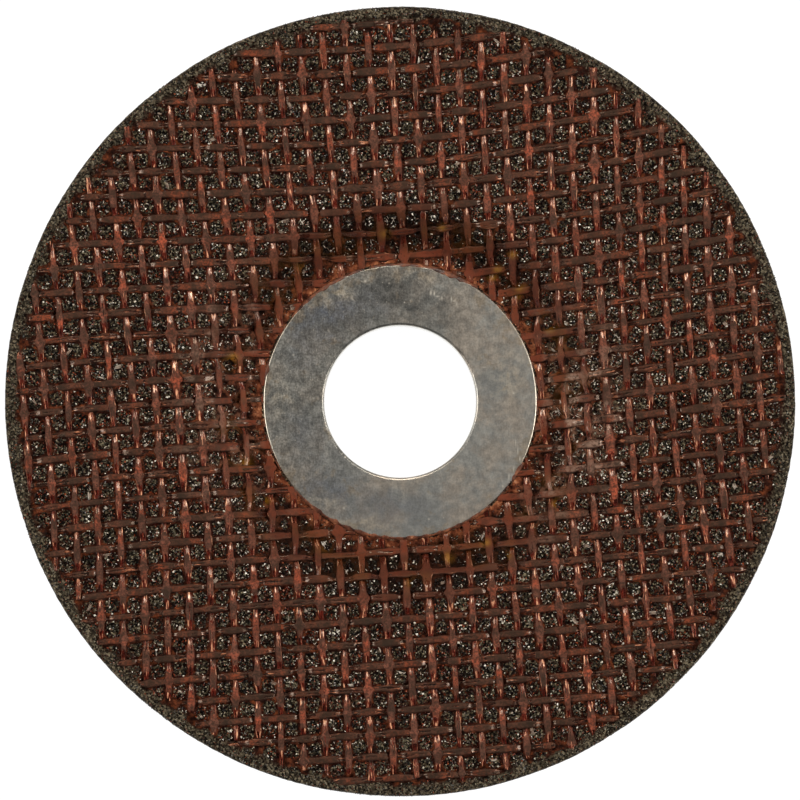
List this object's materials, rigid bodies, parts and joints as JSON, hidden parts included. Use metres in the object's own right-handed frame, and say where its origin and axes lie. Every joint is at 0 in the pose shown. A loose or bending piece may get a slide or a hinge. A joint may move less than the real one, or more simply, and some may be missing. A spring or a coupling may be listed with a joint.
{
  "type": "grinding disc",
  "caption": "Depressed centre grinding disc: resin bonded grain with an open glass mesh on its working face and a flanged steel ring in the arbor hole.",
  "frame": {"origin": "on the axis of the arbor hole, in the plane of the raised hub on the back, which the disc lies on", "axes": "+Z along the axis of the arbor hole, out of the working face; +Y is the top of the picture, +X its right"},
  "size_m": [0.115, 0.115, 0.0106],
  "materials": {
    "abrasive_grain": "coarse grey green grain in dark brown resin, matt and rough, with a few glinting facets",
    "glass_mesh": "plain weave of glass yarns in red brown resin, with a silky streak along the filaments",
    "ring_steel": "thin tinned sheet, dull grey, finely brushed, with darker stains from the cured resin"
  },
  "bodies": {
    "root": {"abrasive_body": "abrasive_grain", "front_glass_mesh": "glass_mesh", "hub_ring": "ring_steel"}
  },
  "joints": []
}
